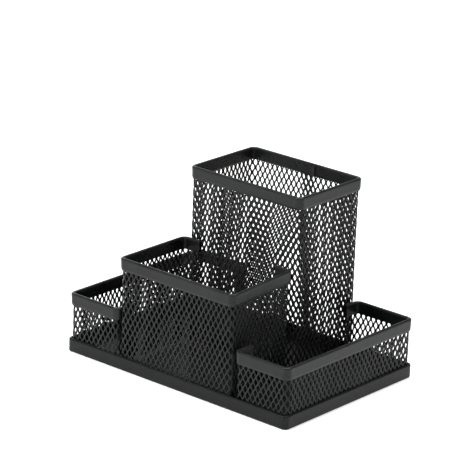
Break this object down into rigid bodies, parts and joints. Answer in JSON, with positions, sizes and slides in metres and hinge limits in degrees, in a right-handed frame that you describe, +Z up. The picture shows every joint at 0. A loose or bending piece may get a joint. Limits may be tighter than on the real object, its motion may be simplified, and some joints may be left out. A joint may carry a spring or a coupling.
{
  "type": "mesh desk organizer",
  "caption": "Black steel mesh desk organizer with a tall pen cup behind a middle basket, open trays on both sides and a raised base band.",
  "frame": {"origin": "middle of the base band's underside, on the surface the organizer stands on", "axes": "+X along the long side, left to right from the front; +Y towards the tall pen cup at the back; +Z up"},
  "size_m": [0.155, 0.105, 0.1028],
  "materials": {
    "floor_sheet": "satin black paint",
    "band_strip": "satin black paint",
    "expanded_mesh": "satin black paint",
    "rim_strip": "satin black paint"
  },
  "bodies": {
    "root": {"base_floor": "floor_sheet", "base_band": "band_strip", "tall_cup_mesh": "expanded_mesh", "tall_cup_rim": "rim_strip", "middle_basket_mesh": "expanded_mesh", "middle_basket_rim": "rim_strip", "left_tray_mesh": "expanded_mesh", "left_tray_rim": "rim_strip", "right_tray_mesh": "expanded_mesh", "right_tray_rim": "rim_strip"}
  },
  "joints": []
}
